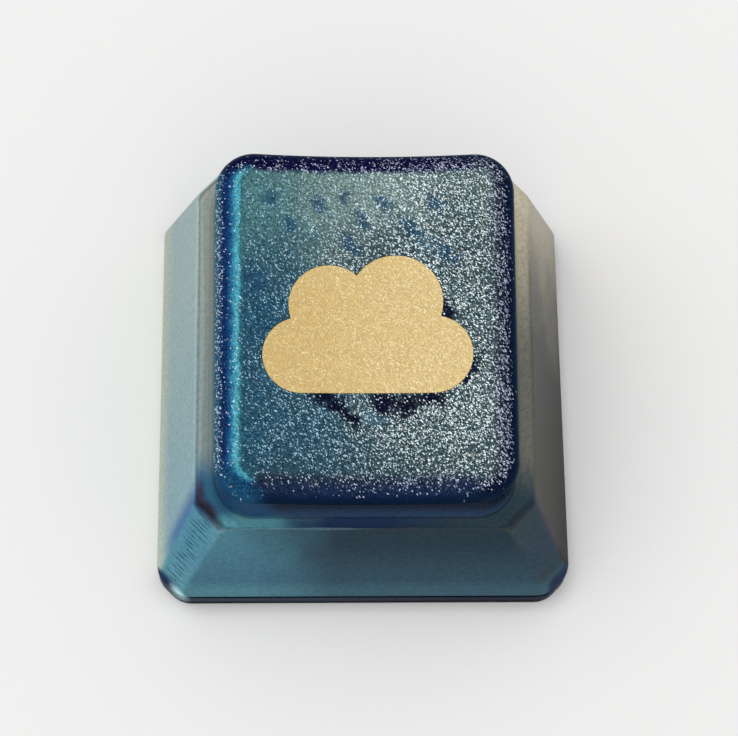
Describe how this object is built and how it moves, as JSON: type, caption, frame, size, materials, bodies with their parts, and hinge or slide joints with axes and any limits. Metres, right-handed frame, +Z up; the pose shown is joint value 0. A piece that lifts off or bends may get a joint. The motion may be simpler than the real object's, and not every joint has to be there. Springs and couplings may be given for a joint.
{
  "type": "keycap",
  "caption": "One-unit metal keycap with bevelled skirt, raised tilted dished top, flush cloud inlay and a hollow underside with a cross-socket stem.",
  "frame": {"origin": "middle of the rim, on the plane it rests on", "axes": "+Z up through the top, -Y towards the typist, +X to the right"},
  "size_m": [0.0182, 0.0184, 0.0102],
  "materials": {
    "blue_film_metal": "interference-blue film, blasted on the top and satin-polished on the skirt",
    "cream_fill": "fine-grained matt"
  },
  "bodies": {
    "root": {"keycap_body": "blue_film_metal", "cloud_inlay": "cream_fill"}
  },
  "joints": []
}
